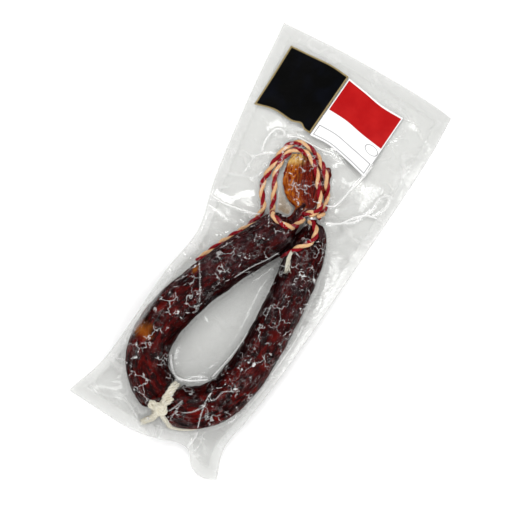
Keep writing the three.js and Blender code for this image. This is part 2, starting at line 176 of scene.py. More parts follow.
def smooth_route(points, step=1.0):
    """Rows a step apart along a smooth curve through the points. Numbers after x, y, z are carried along."""
    knots = np.array([[*p] for p in points], float)
    knots = np.vstack([2 * knots[0] - knots[1], knots, 2 * knots[-1] - knots[-2]])
    gaps = np.sqrt(np.linalg.norm(np.diff(knots[:, :3], axis=0), axis=1))
    t = np.linspace(0, 1, 24, endpoint=False)[:, None]
    rows = []
    for i in range(1, len(knots) - 2):
        before, here, there, after = knots[i - 1 : i + 3]
        g0, g1, g2 = gaps[i - 1 : i + 2]
        leave = ((here - before) / g0 - (there - before) / (g0 + g1) + (there - here) / g1) * g1
        arrive = ((there - here) / g1 - (after - here) / (g1 + g2) + (after - there) / g2) * g1
        cubic = 2 * here - 2 * there + leave + arrive
        square = -3 * here + 3 * there - 2 * leave - arrive
        rows.append(cubic * t**3 + square * t**2 + leave * t + here)
    rows = np.vstack([*rows, knots[-2:-1]])
    run = running_length(rows)
    places = np.linspace(0, run[-1], max(2, round(run[-1] / step) + 1))
    return np.column_stack([np.interp(places, run, column) for column in rows.T])


def directions(rows):
    """The tangent of a route at each row, the level direction to its right, and the direction above it."""
    tangent = np.gradient(rows[:, :3], axis=0)
    tangent /= np.linalg.norm(tangent, axis=1)[:, None]
    across = np.cross(tangent, (0, 0, 1))
    across /= np.linalg.norm(across, axis=1)[:, None]
    return tangent, across, np.cross(across, tangent)


def carried_normals(rows):
    """The tangents, and a normal that is carried along the route without turning round it."""
    tangent, across, _ = directions(rows)
    normals = [across[0]]
    for direction in tangent[1:]:
        carried = normals[-1] - direction * (normals[-1] @ direction)
        normals.append(carried / np.linalg.norm(carried))
    return tangent, np.array(normals)


def tube(rows, sides=24, strands=0, strand_length=8.0):
    """A closed tube along a route of x, y, z, radius: its points, faces, and each face's corner UVs.

    The strands stand out along it and turn once in their length. U runs once round, and V along it in
    centimetres.
    """
    tangent, normal = carried_normals(rows)
    other = np.cross(tangent, normal)
    run = running_length(rows)
    angles = np.linspace(0, 2 * math.pi, sides, endpoint=False)
    swell = 1 + 0.09 * np.cos(strands * angles + 2 * math.pi * run[:, None] / strand_length) * (strands > 0)
    spokes = normal[:, None] * np.cos(angles)[:, None] + other[:, None] * np.sin(angles)[:, None]
    points = rows[:, None, :3] + spokes * (rows[:, 3:4] * swell)[..., None]
    tips = rows[[0, -1], :3] + tangent[[0, -1]] * rows[[0, -1], 3:4] * [[-0.5], [0.5]]
    faces, uvs = [], []
    for i in range(len(rows) - 1):
        for j in range(sides):
            k = (j + 1) % sides
            faces.append((i * sides + j, i * sides + k, (i + 1) * sides + k, (i + 1) * sides + j))
            low, high = run[i] / 10, run[i + 1] / 10
            uvs += [(j / sides, low), ((j + 1) / sides, low), ((j + 1) / sides, high), (j / sides, high)]
    first, end = len(rows) * sides, (len(rows) - 1) * sides
    for j in range(sides):
        k = (j + 1) % sides
        faces += [(first, k, j), (first + 1, end + j, end + k)]
        uvs += [(0.5, 0), ((j + 1) / sides, 0), (j / sides, 0)]
        uvs += [(0.5, run[-1] / 10), (j / sides, run[-1] / 10), ((j + 1) / sides, run[-1] / 10)]
    return np.vstack([points.reshape(-1, 3), tips]), faces, uvs


def mesh_piece(name, parts, slots=None):
    """One object made of parts in millimetres: their points, faces and UVs, and their materials' numbers."""
    vertices, faces, uvs, face_slots = [], [], [], []
    for number, (points, part_faces, part_uvs) in enumerate(parts):
        start = len(vertices)
        vertices += (points * MM).tolist()
        faces += [tuple(start + corner for corner in face) for face in part_faces]
        uvs += part_uvs
        face_slots += [slots[number] if slots else 0] * len(part_faces)
    mesh = bpy.data.meshes.new(name)
    mesh.from_pydata(vertices, [], faces)
    mesh.uv_layers.new(name="UVMap").data.foreach_set("uv", np.array(uvs, np.float32).ravel())
    mesh.polygons.foreach_set("material_index", face_slots)
    mesh.shade_smooth()
    piece = bpy.data.objects.new(name, mesh)
    scene.collection.objects.link(piece)
    return piece


def apply_modifier(piece, kind, **settings):
    """Adds a modifier to the piece and applies it."""
    modifier = piece.modifiers.new(kind.lower(), kind)
    for name, value in settings.items():
        setattr(modifier, name, value)
    bpy.ops.object.select_all(action="DESELECT")
    piece.select_set(True)
    bpy.context.view_layer.objects.active = piece
    bpy.ops.object.modifier_apply(modifier=modifier.name)


def points_of(piece):
    """The mesh's points in millimetres."""
    flat = np.empty(len(piece.data.vertices) * 3, np.float32)
    piece.data.vertices.foreach_get("co", flat)
    return flat.reshape(-1, 3).astype(float) / MM


def move_points(piece, points):
    piece.data.vertices.foreach_set("co", (points * MM).astype(np.float32).ravel())
    piece.data.update()


def normals_of(piece):
    flat = np.empty(len(piece.data.vertices) * 3, np.float32)
    piece.data.vertex_normals.foreach_get("vector", flat)
    return flat.reshape(-1, 3).astype(float)


def give_attribute(piece, name, values):
    """Stores a number or a vector for each point of the mesh, for its material to read."""
    kind, field = ("FLOAT", "value") if values.ndim == 1 else ("FLOAT_VECTOR", "vector")
    piece.data.attributes.new(name, kind, "POINT").data.foreach_set(field, values.astype(np.float32).ravel())


def noise_at(points, size, seed=0):
    """Smooth noise from -1 to 1 at each point, with features of about this size."""
    shift = Vector((seed * 17.3, seed * 5.1, seed * 9.7))
    return np.array([noise.noise(Vector(p) + shift) for p in (points / size).tolist()])


def ramp(values, low, high):
    """0 below low, 1 above high, and a smooth rise between."""
    t = np.clip((values - low) / (high - low), 0, 1)
    return t * t * (3 - 2 * t)


def nearest(rows, points):
    """The number of the row nearest to each point, and how far it is."""
    tree = KDTree(len(rows))
    for i, place in enumerate(rows):
        tree.insert(place[:3], i)
    tree.balance()
    found = [tree.find(p)[1:] for p in points.tolist()]
    return np.array([f[0] for f in found]), np.array([f[1] for f in found])


class Value:
    """A socket of a material's nodes. Arithmetic on it adds Math nodes."""

    def __init__(self, paint, socket):
        self.paint = paint
        self.socket = socket

    def _math(self, operation, *terms):
        return self.paint.node("Math", {"operation": operation}, dict(enumerate(terms)))

    def __add__(self, other):
        return self._math("ADD", self, other)

    def __sub__(self, other):
        return self._math("SUBTRACT", self, other)

    def __rsub__(self, other):
        return self._math("SUBTRACT", other, self)

    def __mul__(self, other):
        return self._math("MULTIPLY", self, other)

    def sine(self):
        return self._math("SINE", self)

    def larger(self, other):
        return self._math("MAXIMUM", self, other)

    def smaller(self, other):
        return self._math("MINIMUM", self, other)

    def rise(self, low, high):
        """0 below low, 1 above high, and a smooth rise between. Low above high makes it a fall."""
        values = {"Value": self, "From Min": low, "From Max": high}
        return self.paint.node("MapRange", {"interpolation_type": "SMOOTHSTEP"}, values)


class Paint:
    """A material, and the nodes that make its look."""

    def __init__(self, name):
        self.material = bpy.data.materials.new(name)
        self.material.use_nodes = True
        self.material.node_tree.nodes.clear()

    def node(self, kind, settings=None, values=None, output=0):
        """Adds a node of this kind, and gives one of its outputs by name or number."""
        node = self.material.node_tree.nodes.new("ShaderNode" + kind)
        for name, setting in (settings or {}).items():
            setattr(node, name, setting)
        for name, value in (values or {}).items():
            if isinstance(value, Value):
                self.material.node_tree.links.new(value.socket, node.inputs[name])
            else:
                node.inputs[name].default_value = value
        return Value(self, node.outputs[output])

    def place(self):
        return self.node("TexCoord", output="Object")

    def uv(self):
        return self.node("UVMap", {"uv_map": "UVMap"})

    def attribute(self, name, output="Fac"):
        return self.node("Attribute", {"attribute_name": name}, output=output)

    def axis(self, vector, output):
        return self.node("SeparateXYZ", values={0: vector}, output=output)

    def scaled(self, vector, x, y, z):
        return self.node("Mapping", values={"Vector": vector, "Scale": (x, y, z)})

    def grain(self, vector, size, detail=2.0, distortion=0.0):
        """Noise from 0 to 1 with features of about this size, in the vector's units."""
        values = {"Vector": vector, "Scale": 1 / size, "Detail": detail, "Distortion": distortion}
        return self.node("TexNoise", values=values)

    def wavering(self, vector, size, amount):
        """The vector, shifted to and fro by the amount over features of about this size."""
        values = {"Vector": vector, "Scale": 1 / size, "Detail": 1.0}
        waves = self.node("TexNoise", values=values, output="Color")
        shift = self.node("VectorMath", {"operation": "SUBTRACT"}, {0: waves, 1: (0.5, 0.5, 0.5)})
        shift = self.node("VectorMath", {"operation": "SCALE"}, {0: shift, "Scale": amount})
        return self.node("VectorMath", {"operation": "ADD"}, {0: vector, 1: shift})

    def distance(self, vector, centre):
        """How far the vector is from a fixed point."""
        return self.node("VectorMath", {"operation": "DISTANCE"}, {0: vector, 1: centre}, "Value")

    def wrinkles(self, vector, size, width):
        """1 along the thin lines between cells of this size, and 0 beyond their width."""
        values = {"Vector": vector, "Scale": 1 / size}
        away = self.node("TexVoronoi", {"feature": "DISTANCE_TO_EDGE"}, values, output="Distance")
        return away.rise(width / size, 0.2 * width / size)

    def blend(self, factor, first, second):
        """The first colour where the factor is 0 and the second where it is 1."""
        colours = [(*c, 1) if isinstance(c, tuple) and len(c) == 3 else c for c in (first, second)]
        return self.node("Mix", {"data_type": "RGBA"}, {0: factor, 6: colours[0], 7: colours[1]}, output=2)

    def bump(self, height, distance, strength):
        """A normal that rises by the distance in metres where the height is 1."""
        return self.node("Bump", values={"Height": height, "Distance": distance, "Strength": strength})

    def principled(self, values):
        colour = values.get("Base Color")
        if isinstance(colour, tuple):
            values = {**values, "Base Color": (*colour, 1)}
        return self.node("BsdfPrincipled", values=values)

    def finish(self, shader):
        """Puts the shader on the surface, and gives the finished material."""
        output = self.material.node_tree.nodes.new("ShaderNodeOutputMaterial")
        self.material.node_tree.links.new(shader.socket, output.inputs["Surface"])
        return self.material


def shoulder(radius, distance, neck):
    """The radius at a distance from an end, narrowing over a round shoulder to the neck's own."""
    thin, length, rise = neck
    along = np.clip((distance - length) / rise, 0, 1)
    return thin + (radius - thin) * np.sqrt(1 - (1 - along) ** 2)


spine = smooth_route(SPINE)
spine_run = running_length(spine)
waist_row = np.flatnonzero((spine[:, 0] > -1) & (spine[:, 1] < -100))[0]
body = np.interp(spine_run / spine_run[-1], np.linspace(0, 1, len(BODY_RADII)), BODY_RADII)
to_right_end = spine_run[-1] - spine_run
spine_radii = np.minimum(shoulder(body, spine_run, LEFT_NECK), shoulder(body, to_right_end, RIGHT_NECK))
from_waist = (spine_run - spine_run[waist_row]) / WAIST_HALF_WIDTH
spine_radii -= (body - WAIST_RADIUS) * np.exp(-(from_waist**4))
spine_radii -= WRINKLE_HEIGHT  # the wrinkles stand out again by as much

fan = smooth_route(FAN)
fan_share = running_length(fan) / running_length(fan)[-1]
_, fan_across, _ = directions(fan)
pleats = []
for spread in np.linspace(-1, 1, PLEATS):
    swerve = PLEAT_SWERVE * np.sin(9 * fan_share + 7 * spread)
    places = fan[:, :3] + fan_across * (fan[:, 3] * (spread + swerve * ramp(fan_share, 0.3, 1)))[:, None]
    places[:, 2] += PLEAT_HEIGHT * math.cos(23 * spread) * ramp(fan_share, 0.2, 0.6)
    thickness = np.interp(fan_share, PLEAT_PLACES, PLEAT_RADII)
    length = len(fan) - round(12 * max(spread, 0) ** 1.5 + 3 * abs(math.sin(31 * spread)))
    pleats.append(np.column_stack([places, thickness])[:length])

neck_pleats = []
for aside in NECK_PLEATS:  # the left neck's casing is gathered, not round
    pleat = [
        (13.6 + aside * 0.4, 55, 8.4, 1.5),
        (12.6 + aside, 47, 9.2 + 0.4 * aside, 2.1),
        (12 + aside, 40, 10.6, 2.3),
        (10.4 + aside * 1.6, 33, 13, 2.6),
        (8.6 + aside * 2, 27, 14, 2.8),
    ]
    neck_pleats.append(smooth_route(pleat))
routes = [np.column_stack([spine, spine_radii]), *pleats, *neck_pleats]
sausage = mesh_piece("sausage_skin", [tube(route, sides=40) for route in routes])
apply_modifier(sausage, "REMESH", mode="VOXEL", voxel_size=SKIN_STEP * MM)
apply_modifier(sausage, "SMOOTH", factor=0.6, iterations=5)

# Each point's place in the straightened sausage, and how far it belongs to the fan.
points = points_of(sausage)
_, spine_across, spine_above = directions(spine)
row, distance = nearest(spine, points)
away = points - spine[row]
sideways, upwards = (away * spine_across[row]).sum(1), (away * spine_above[row]).sum(1)
straight = np.column_stack([sideways, upwards, spine_run[row]])
fan_row, _ = nearest(fan, points)
in_fan = ramp(distance / np.maximum(spine_radii[row], 1), 1.25, 1.6) * ramp(fan_share[fan_row], 0.02, 0.12)
fan_sideways = ((points - fan[fan_row, :3]) * fan_across[fan_row]).sum(1) / np.maximum(fan[fan_row, 3], 1)
give_attribute(sausage, "straight", straight * MM)
give_attribute(sausage, "fan", in_fan)
fan_place = np.column_stack([fan_sideways, fan_share[fan_row], np.zeros(len(points))])
give_attribute(sausage, "fan_place", fan_place)


def lumpy(points, lumps):
    """How far the lumps, each with a height, a size and a seed, stand out at each point."""
    return sum(height * noise_at(points, size, seed) for height, size, seed in lumps)


def creased(points, depth, size, seed, sharpness):
    """How far creases between features of about this size cut in at each point."""
    return -depth * np.exp(-np.abs(noise_at(points, size, seed)) * sharpness)


# Lumps of meat, lengthwise creases of the dried skin, and pleats that run together into the necks.
lengthwise = straight * [1, 1, 0.2]
to_neck = np.minimum(spine_run[row] - LEFT_NECK[1], spine_run[-1] - spine_run[row])
near_neck = np.exp(-np.maximum(to_neck, 0) / 16)
creases = creased(lengthwise, 0.75, 5, 5, 9) + creased(straight, 0.3, 4, 8, 8)
around = np.arctan2(straight[:, 1], straight[:, 0])
gathers = near_neck * GATHER_HEIGHT * np.cos(GATHERS * around + 2 * noise_at(straight, 12, 11))
from_groove = (around - GROOVE_TURN - 0.2 * noise_at(straight, 30, 2)) / GROOVE_HALF_WIDTH
groove = -GROOVE_DEPTH * np.exp(-(from_groove**2))
starts, deep, still_deep, ends = GROOVE_ENDS
groove *= ramp(spine_run[row], starts, deep) * ramp(-spine_run[row], -ends, -still_deep)
move = (1 - in_fan) * (lumpy(straight, LUMPS) + creases + gathers + groove)
move += in_fan * lumpy(points, FAN_LUMPS)
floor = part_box("sausage")[0][2] / MM
points += normals_of(sausage) * move[:, None]
points[:, 2] = np.maximum(points[:, 2], floor)
move_points(sausage, points)
sausage.data.shade_smooth()

LEAN_DARK, LEAN_RED = (0.022, 0.0006, 0.0006), (0.08, 0.0016, 0.001)
DRY_PURPLE = (0.016, 0.0012, 0.0016)
NEAR_BLACK = (0.003, 0.0004, 0.0005)
PAPRIKA_RED = (0.15, 0.004, 0.0015)
GREY_BLOOM = (0.09, 0.042, 0.05)
PAINTED_INNER_FLANK_SHADE = (0.003, 0.0006, 0.0008)
AMBER_FAT = (0.36, 0.1, 0.006)
CASING_DARK, CASING_RED = (0.03, 0.001, 0.001), (0.19, 0.012, 0.003)
AMBER_DARK, AMBER_LIGHT = (0.13, 0.008, 0.001), (0.44, 0.115, 0.006)
PALE_CASING = (0.62, 0.37, 0.1)
NECK_BROWN = (0.07, 0.004, 0.003)

skin = Paint("dried_casing")
place = skin.place()
straight_place = skin.attribute("straight", "Vector")
long_place = skin.scaled(straight_place, 1, 1, 0.35)
chunks = skin.grain(straight_place, 0.009, 3, 0.6)
mottle = skin.grain(long_place, 0.0035, 4, 1.2)
upper = skin.axis(place, "Y").rise(-0.09, 0.0)
meat = skin.blend(chunks.rise(0.35, 0.65), LEAN_DARK, LEAN_RED)
meat = skin.blend(upper * 0.5, meat, DRY_PURPLE)
meat = skin.blend(mottle.rise(0.42, 0.6) * 0.9, meat, NEAR_BLACK)
glow = skin.grain(straight_place, 0.012, 2).rise(0.54, 0.7) * (1 - upper * 0.8)
meat = skin.blend(glow * 0.5, meat, PAPRIKA_RED)
bloom = skin.grain(place, 0.018, 3).rise(0.4, 0.62) * upper
bloom = bloom * skin.grain(long_place, 0.0025, 3).rise(0.35, 0.65)
meat = skin.blend(bloom * 0.35, meat, GREY_BLOOM)
# Painted shade: the flank of each limb that faces into the horseshoe is darkened towards near black.
inner = skin.axis(straight_place, "X").rise(-0.006, -0.0135)
meat = skin.blend(inner * 0.65, meat, PAINTED_INNER_FLANK_SHADE)
for x, y, z, radius in FAT_PATCHES:
    offset = skin.distance(place, (x * MM, y * MM, z * MM))
    ragged = offset + (skin.grain(place, 0.008, 3) - 0.5) * 0.012
    meat = skin.blend(ragged.rise(radius * MM * 1.4, radius * MM * 0.1) * 0.8, meat, AMBER_FAT)
place_in_fan = skin.attribute("fan_place", "Vector")
across_fan = skin.axis(place_in_fan, "X")
along_fan = skin.axis(place_in_fan, "Y")
streaks = skin.grain(skin.scaled(place_in_fan, 5, 1.2, 1), 0.35, 4, 1.0)
edge = (0 - across_fan) + (streaks - 0.5) * 0.9
folds = skin.grain(skin.scaled(place_in_fan, 3, 3, 1), 0.5, 5, 2.6)
dry = skin.blend(streaks.rise(0.35, 0.65), CASING_DARK, CASING_RED)
amber = skin.blend(folds.rise(0.4, 0.62), AMBER_DARK, AMBER_LIGHT)
dry = skin.blend(edge.rise(0.1, 0.75), dry, amber)
pale_tip = along_fan.rise(0.8, 0.9) * edge.rise(0.0, 0.5)
dry = skin.blend(pale_tip * folds.rise(0.3, 0.55), dry, PALE_CASING)
dry = skin.blend(along_fan.rise(0.3, 0.22), dry, NECK_BROWN)
colour = skin.blend(skin.attribute("fan"), meat, dry)
fine = skin.grain(place, 0.0012, 3) * 0.5 + skin.grain(long_place, 0.0035, 3, 1.0)
skin_look = skin.principled(
    {
        "Base Color": colour,
        "Roughness": chunks.rise(0.3, 0.7) * 0.16 + 0.3,
        "Specular IOR Level": 0.05,
        "Normal": skin.bump(fine, 0.0006, 0.7),
    }
)
sausage.data.materials.append(skin.finish(skin_look))
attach(sausage, "root")
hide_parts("sausage")

# ------------------------------------------------------------------------------ neck clip
# A soft aluminium ring that a clipping machine crimped round the stem where both ends of the casing meet.
# The crimping left flats on its sides and drew it out along the stem.

CLIP_AT = 0.1  # along the fan
CLIP_RADIUS = 4.4
CLIP_WIRE = 0.85
CLIP_STRETCH = 1.7  # along the stem
CRIMPS = 6
CRIMP_DEPTH = 0.12
CRIMP_SPREAD = 0.25  # the wire's share that a crimp takes from its thickness and adds to its length

clip_row = round(CLIP_AT * (len(fan) - 1))
clip_centre = fan[clip_row, :3]
clip_axis = directions(fan)[0][clip_row]
bpy.ops.object.select_all(action="DESELECT")
bpy.ops.mesh.primitive_torus_add(
    location=clip_centre * MM,
    rotation=Vector(clip_axis).to_track_quat("Z", "Y").to_euler(),
    major_radius=CLIP_RADIUS * MM,
    minor_radius=CLIP_WIRE * MM,
    major_segments=72,
    minor_segments=20,
)
clip = bpy.context.object
clip.name = "clip_ring"
bpy.ops.object.transform_apply()
points = points_of(clip) - clip_centre
along = points @ clip_axis
flat = points - along[:, None] * clip_axis
reach = np.linalg.norm(flat, axis=1)
turn = np.arctan2(flat[:, 2], flat @ np.cross(clip_axis, (0, 0, 1)))
crimp = np.abs(np.cos(CRIMPS / 2 * turn)) ** 6
thick = (reach - CLIP_RADIUS) * (1 - CRIMP_SPREAD * crimp)
flat *= ((CLIP_RADIUS - CRIMP_DEPTH * crimp + thick) / reach)[:, None]
points = flat + (along * (CLIP_STRETCH + CRIMP_SPREAD * crimp))[:, None] * clip_axis
move_points(clip, points + clip_centre)
clip.data.shade_smooth()
metal = Paint("crimped_aluminium")
scratches = metal.grain(metal.scaled(metal.place(), 1, 4, 1), 0.0009, 4)
metal_look = metal.principled(
    {
        "Base Color": metal.blend(scratches.rise(0.35, 0.7), (0.5, 0.51, 0.53), (0.74, 0.75, 0.77)),
        "Metallic": 1.0,
        "Roughness": scratches * 0.3 + 0.2,
        "Normal": metal.bump(scratches, 0.0002, 0.5),
    }
)
clip.data.materials.append(metal.finish(metal_look))
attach(clip, "root")
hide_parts("neck_clip")

# ------------------------------------------------------------------------------ hanging twine
# The loop that the sausage hung by while it dried: two-ply cotton twine, one ply red and one natural. Both
# strands start beside the clip and go round the fan. One crosses the left neck, and the loose end of the
# other lies along the left limb.

PLY_RADIUS = 1.52
PLY_OFFSET = 0.96  # from the twine's middle
TWINE_RADIUS = PLY_RADIUS + PLY_OFFSET
TWINE_PITCH = 19
TWINE_STEP = 0.7  # the spacing of the mesh along it
OUTER_STRAND = [
    (27.6, 50.6, 14.6), (28.8, 54.4, 13.6), (28.6, 58.6), (27.4, 63), (25, 69.4), (20.6, 76.6),
    (12.2, 86), (3.2, 92.6), (-7.4, 96.4), (-17.4, 95.6), (-24, 88.6), (-26.2, 78.4), (-26.6, 64),
    (-26, 54), (-22.6, 45.4), (-17, 38.6, 9), (-13.4, 32.4, 13),
]
LIMB_END = [0.11, 0.132, 0.154, 0.178, 0.204, 0.23]  # along the sausage, where the outer strand ends
LIMB_END_HEIGHT = 8
LIMB_END_GAP = 0.5
INNER_STRAND = [
    (20.4, 49, 14.6), (23.4, 53.4, 15.4), (24.6, 58, 14.4), (20.6, 65), (14.6, 73), (8.6, 80.6),
    (-1.4, 88.6), (-9.6, 91), (-17.4, 89), (-21.4, 82), (-22, 72), (-20.6, 63), (-15.4, 53.4),
    (-10.6, 43.6), (-6.6, 35.6), (-2.4, 32.2), (5.6, 31), (12.6, 32.4), (16.4, 38.6), (17.6, 44.4),
]
FILM_HOLDS_AT = 4.6  # the height of a strand that only the films hold
BITE = 0.92  # the share of its radius at which a strand rests, as it presses in a little
OVERHEAD, UNDERNEATH = 90, -10  # heights clear of everything


def solid_tree(pieces):
    """The pieces' surfaces in millimetres, for measuring heights on them."""
    vertices, faces = [], []
    for piece in pieces:
        start = len(vertices)
        vertices += points_of(piece).tolist()
        faces += [tuple(start + v for v in polygon.vertices) for polygon in piece.data.polygons]
    return BVHTree.FromPolygons(vertices, faces)


def surface_height(tree, x, y, from_above=True):
    """The height of the topmost surface at a place, or of the lowest one, or None."""
    start, heading = (OVERHEAD, -1) if from_above else (UNDERNEATH, 1)
    hit = tree.ray_cast((x, y, start), (0, 0, heading))[0]
    return hit.z if hit else None


def laid(points, radius, tree):
    """A route through the points that rests on what is under it. A third number is a height of its own."""
    fixed = []
    for point in points:
        if len(point) == 2:
            point = (*point, max((surface_height(tree, *point) or 0) + radius, FILM_HOLDS_AT))
        fixed.append(point)
    rows = smooth_route(fixed, TWINE_STEP)
    for _ in range(2):
        under = [surface_height(tree, x, y) for x, y, _ in rows]
        under = [UNDERNEATH if z is None else z for z in under]
        rows[:, 2] = [max(row[2], z + radius * BITE) for row, z in zip(rows, under)]
        padded = np.pad(rows[:, 2], 3, mode="edge")
        rows[:, 2] = np.convolve(padded, np.ones(7) / 7, mode="valid")
    return rows


def twisted(rows, plies, offset, radius, pitch, phase=0.0):
    """The route of each ply, wound round the middle of the twine."""
    tangent, normal = carried_normals(rows)
    other = np.cross(tangent, normal)
    run = running_length(rows)
    routes = []
    for ply in range(plies):
        turn = phase + 2 * math.pi * (run / pitch + ply / plies)
        away = normal * np.cos(turn)[:, None] + other * np.sin(turn)[:, None]
        routes.append(np.column_stack([rows[:, :3] + away * offset, np.full(len(rows), radius)]))
    return routes


def frayed(rows, radius, count, spread, seed):
    """Loose fibres at the end of a ply, fanning out beyond its last row."""
    dice = random.Random(seed)
    tangent, across, above = directions(rows)
    fibres = []
    for _ in range(count):
        turn = dice.uniform(0, 2 * math.pi)
        side = across[-1] * math.cos(turn) + above[-1] * math.sin(turn) * 0.4
        start = rows[-1, :3] - tangent[-1] * radius * 1.4 + side * radius * 0.5
        length = dice.uniform(0.6, 1.2) * spread
        middle = start + tangent[-1] * length * 0.6 + side * radius * 0.5
        end = start + tangent[-1] * length * 1.1 + side * (radius + spread * dice.uniform(0.1, 0.5))
        fibre = smooth_route([(*start, radius * 0.34), (*middle, radius * 0.26), (*end, radius * 0.1)], 0.5)
        fibres.append(tube(fibre, sides=8))
    return fibres


def two_ply(strands):
    """The plies of some strands of twine, each given with its phase, and each ply's material number."""
    parts, slots = [], []
    for strand, phase in strands:
        for ply, route in enumerate(twisted(strand, 2, PLY_OFFSET, PLY_RADIUS, TWINE_PITCH, phase)):
            parts.append(tube(route, sides=24, strands=5))
            slots.append(ply)
    return parts, slots


def cotton(name, colour, dark_dye_and_painted_shade):
    """Spun cotton: fibres that wind round the ply with painted shade in the furrows between them, fuzz, and
    dye that took unevenly.
    """
    paint = Paint(name)
    uv = paint.uv()
    around, along = paint.axis(uv, "X"), paint.axis(uv, "Y")
    winding = (around * 6 + along * 7 + paint.grain(paint.place(), 0.002, 2) * 0.7) * (2 * math.pi)
    strands = winding.sine() * 0.5 + 0.5
    fibres = paint.grain(paint.scaled(uv, 30, 9, 1), 1, 4, 0.8)
    uneven = paint.grain(paint.place(), 0.006, 3)
    # The second colour is a darker copy of the cotton. The furrows between the windings get it as painted
    # shade, and the fibre streaks and uneven dye vary it as real tone.
    tone = strands * 0.4 + fibres * 0.35 + uneven * 0.45
    look = paint.principled(
        {
            "Base Color": paint.blend(tone.rise(0.25, 0.85), dark_dye_and_painted_shade, colour),
            "Roughness": fibres * 0.2 + 0.65,
            "Specular IOR Level": 0.15,
            "Normal": paint.bump(strands + fibres * 0.8, 0.0003, 0.8),
        }
    )
    return paint.finish(look)


# Each cotton's second colour is a darker copy, used as painted shade in the furrows and where the dye took
# unevenly.
red_cotton = cotton("red_cotton", (0.34, 0.002, 0.012), (0.15, 0.001, 0.004))
natural_cotton = cotton("natural_cotton", (0.92, 0.6, 0.34), (0.62, 0.3, 0.12))
white_cotton = cotton("white_cotton", (0.93, 0.9, 0.8), (0.6, 0.53, 0.38))

beside_limb = []
for share in LIMB_END:
    i = round(share * (len(spine) - 1))
    clear = spine_radii[i] + TWINE_RADIUS + LIMB_END_GAP
    reach = math.sqrt(clear**2 - (spine[i][2] - LIMB_END_HEIGHT) ** 2)
    beside = spine[i] + spine_across[i] * reach
    beside_limb.append((beside[0], beside[1], LIMB_END_HEIGHT))
neck_tree = solid_tree([sausage, clip])
outer = laid(OUTER_STRAND, TWINE_RADIUS, neck_tree)
outer = smooth_route([*map(tuple, outer[:-2:4]), *beside_limb], TWINE_STEP)
inner = laid(INNER_STRAND, TWINE_RADIUS, neck_tree)
hanging = mesh_piece("hanging_twine_plies", *two_ply([(outer, 0.6), (inner, 2.2)]))
hanging.data.materials.append(red_cotton)
hanging.data.materials.append(natural_cotton)
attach(hanging, "root")
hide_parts("hanging_twine")

# ------------------------------------------------------------------------------ binding twine
# A second length of the same twine holds both ends together. It is wound once round the stem, drawn over the
# clip and down on the right limb, where its plies come apart into a short red end and a frayed pale one.

TURN_AT = 0.18  # along the fan
TURN_RADIUS = 5.2
TURN_SIDES = 16
TURN_ROWS = 19  # a little over one turn
TURN_LEAD = 0.16  # along the stem, from row to row
TURN_START = -1.6
TRAILING_END = [
    (23, 44.4, 14.6), (26.2, 44.6, 16), (29.6, 42.4), (32.4, 38.6), (33, 32.4), (30.6, 27),
    (26.6, 21.6), (23.6, 17),
]
RED_END = [(23.6, 17), (21, 12.6), (19, 8.4)]
RED_TIP = 0.8  # the share of its radius that the red end narrows to
PALE_END = [(23.6, 17), (24, 11.4), (26, 6), (28.4, 1.4)]
PALE_STRANDS = 5
PALE_STRAND_RADIUS = 0.62
PALE_OPENING = (0.7, 1.7)  # how far the strands are from the middle where they start and where they end
PALE_PITCH = 24

turn_row = round(TURN_AT * (len(fan) - 1))
turn_centre = fan[turn_row, :3]
fan_tangent, _, fan_above = directions(fan)
turn_rows = []
for i in range(TURN_ROWS):
    turn = 2 * math.pi * (i / TURN_SIDES - 0.25)
    spoke = fan_across[turn_row] * math.cos(turn) + fan_above[turn_row] * math.sin(turn)
    lead = fan_tangent[turn_row] * (TURN_LEAD * i + TURN_START)
    turn_rows.append(tuple(turn_centre + spoke * TURN_RADIUS + lead))
limb_tree = solid_tree([sausage, clip, hanging])
trailing = laid(TRAILING_END, TWINE_RADIUS, solid_tree([sausage]))
parts, slots = two_ply([(smooth_route(turn_rows, TWINE_STEP), 0.4), (trailing, 1.5)])
red_end = laid(RED_END, PLY_RADIUS, limb_tree)
red_end = np.column_stack([red_end, PLY_RADIUS * np.linspace(1, RED_TIP, len(red_end))])
loose = [tube(red_end, sides=20, strands=5), *frayed(red_end, PLY_RADIUS * RED_TIP, 14, 1.8, 5)]
parts += loose
slots += [0] * len(loose)
pale_end = laid(PALE_END, PLY_RADIUS, limb_tree)
opening = np.linspace(*PALE_OPENING, len(pale_end))[:, None]
pale_strands = twisted(pale_end, PALE_STRANDS, opening, PALE_STRAND_RADIUS, PALE_PITCH, 0.5)
for number, route in enumerate(pale_strands):
    loose = [tube(route, sides=14, strands=4), *frayed(route, PALE_STRAND_RADIUS, 6, 3.4, 6 + number)]
    parts += loose
    slots += [2] * len(loose)
binding = mesh_piece("binding_twine_plies", parts, slots)
binding.data.materials.append(red_cotton)
binding.data.materials.append(natural_cotton)
binding.data.materials.append(white_cotton)
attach(binding, "root")
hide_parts("binding_twine")

# ------------------------------------------------------------------------------ waist string
# Three-ply white cotton string, wound twice round the bend of the horseshoe and tied on top. It bites into
# the sausage. One end hangs outwards, and the other has come untwisted and lies along the limb.

